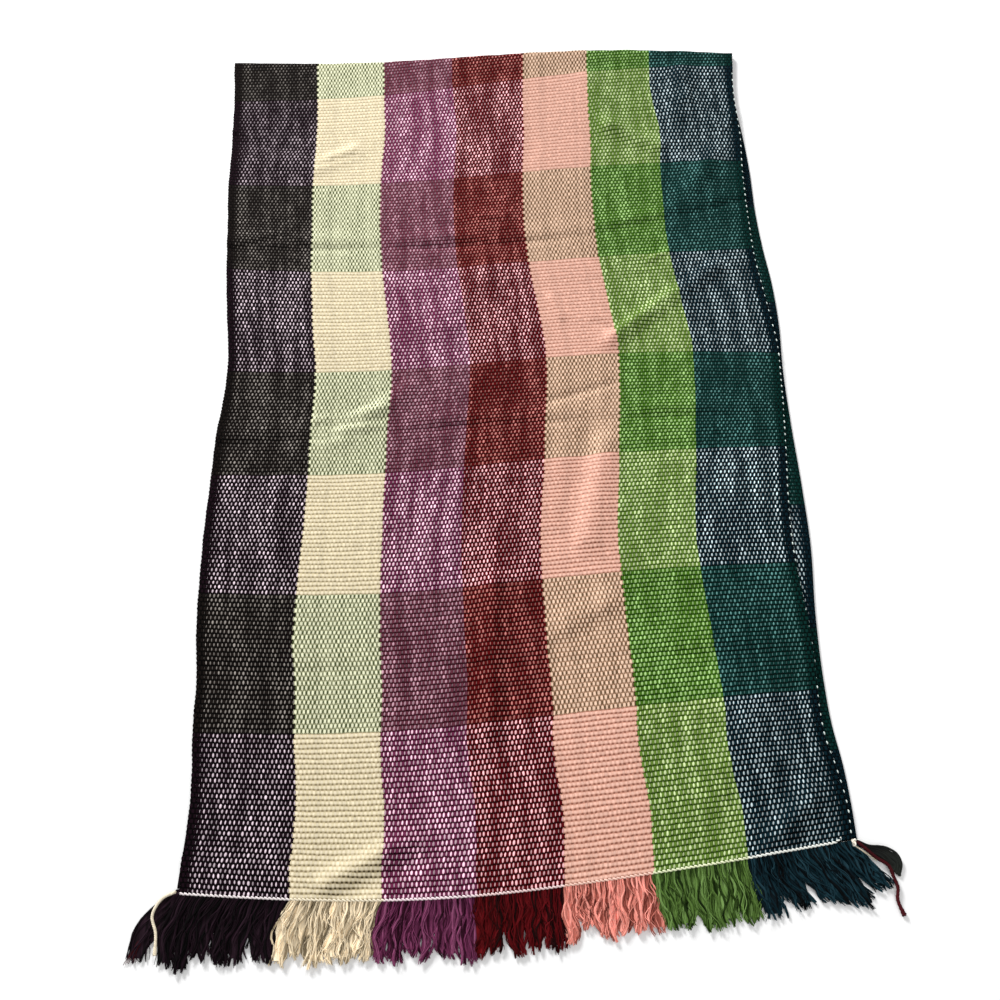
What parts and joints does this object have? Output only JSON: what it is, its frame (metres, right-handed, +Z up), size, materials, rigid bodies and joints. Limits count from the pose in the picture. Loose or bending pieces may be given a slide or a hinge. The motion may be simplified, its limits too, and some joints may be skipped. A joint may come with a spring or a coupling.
{
  "type": "folded woven shawl",
  "caption": "Handwoven plaid shawl folded in half and lying flat, with striped warp, banded weft, twined hems and fringed ends.",
  "frame": {"origin": "a point on the flat underside, under the middle of the folded web", "axes": "+X across the cloth to its right selvage, +Y from the fringed ends to the fold, +Z up from the surface it rests on"},
  "size_m": [0.7135, 1.1007, 0.0113],
  "materials": {
    "aubergine": "soft wool yarn",
    "cream": "soft wool yarn",
    "plum": "soft wool yarn",
    "red": "soft wool yarn",
    "pink": "soft wool yarn",
    "green": "soft wool yarn",
    "teal": "soft wool yarn",
    "web": "matt woven wool",
    "cord": "soft wool yarn",
    "knot_red": "soft wool yarn",
    "knot_black": "soft wool yarn"
  },
  "bodies": {
    "root": {"web": "web", "hem_cord_upper": "cord", "hem_cord_under": "cord", "fringe_upper_aubergine": "aubergine", "fringe_upper_cream": "cream", "fringe_upper_plum": "plum", "fringe_upper_red": "red", "fringe_upper_pink": "pink", "fringe_upper_green": "green", "fringe_upper_teal": "teal", "fringe_under_aubergine": "aubergine", "fringe_under_cream": "cream", "fringe_under_plum": "plum", "fringe_under_red": "red", "fringe_under_pink": "pink", "fringe_under_green": "green", "fringe_under_teal": "teal", "weft_tail_cream": "cord", "knot_end_cream": "cord", "knot_end_red": "knot_red", "knot_end_black": "knot_black", "corner_knot": "cord"}
  },
  "joints": []
}
